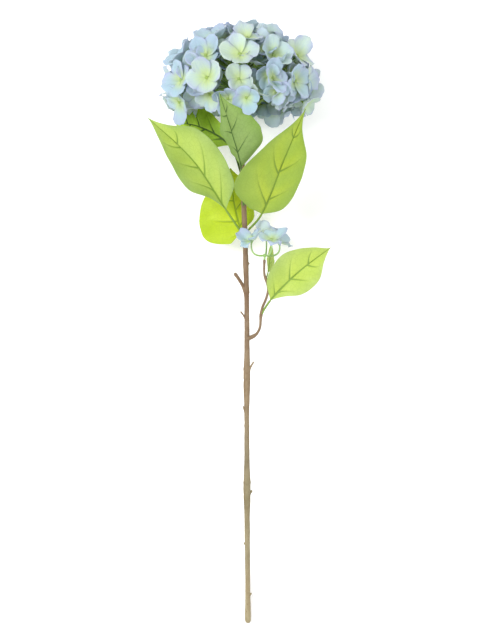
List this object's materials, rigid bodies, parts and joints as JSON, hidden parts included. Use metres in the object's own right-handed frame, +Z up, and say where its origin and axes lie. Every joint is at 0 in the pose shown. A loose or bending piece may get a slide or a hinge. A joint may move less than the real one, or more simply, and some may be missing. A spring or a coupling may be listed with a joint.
{
  "type": "cut hydrangea",
  "caption": "Cut hydrangea lying on its back: long jointed stem, broad veined leaves, domed head of small cupped florets, and a side branch with a small flower.",
  "frame": {"origin": "middle of the bounding box's lowest face, on the surface that the plant lies on", "axes": "+Y along the stem from its foot to the flower head, +Z up from the surface, +X to the right with the head away from the viewer"},
  "size_m": [0.1968, 0.6494, 0.1631],
  "materials": {
    "stem": "matt brown to olive bark with joints and scars",
    "stalk": "matt green flower stalk",
    "leaf": "matt yellow-green leaf with darker sunken veins",
    "petal": "soft matt pale blue petal with lavender rim and yellow-green middle"
  },
  "bodies": {
    "root": {"main_stem": "stem", "side_branch": "stem", "leaf_front_left": "leaf", "leaf_front_right": "leaf", "leaf_upper_front": "leaf", "leaf_upper_back": "leaf", "leaf_lower_back": "leaf", "leaf_side": "leaf", "leaf_side_small": "leaf", "floret_01": "petal", "floret_02": "petal", "floret_03": "petal", "floret_04": "petal", "floret_05": "petal", "floret_06": "petal", "floret_07": "petal", "floret_08": "petal", "floret_09": "petal", "floret_10": "petal", "floret_11": "petal", "floret_12": "petal", "floret_13": "petal", "floret_14": "petal", "floret_15": "petal", "floret_16": "petal", "floret_17": "petal", "floret_18": "petal", "floret_19": "petal", "floret_20": "petal", "floret_21": "petal", "floret_22": "petal", "floret_23": "petal", "floret_24": "petal", "floret_25": "petal", "floret_26": "petal", "floret_27": "petal", "floret_28": "petal", "floret_29": "petal", "floret_30": "petal", "floret_31": "petal", "floret_32": "petal", "floret_33": "petal", "floret_34": "petal", "floret_35": "petal", "floret_36": "petal", "floret_37": "petal", "floret_38": "petal", "floret_39": "petal", "floret_40": "petal", "side_floret_1": "petal", "side_floret_2": "petal", "side_floret_3": "petal", "side_floret_4": "petal", "stalks_top": "stalk", "stalks_front": "stalk", "stalks_right": "stalk", "stalks_back": "stalk", "stalks_left": "stalk", "side_flower_stalks": "stalk"}
  },
  "joints": []
}
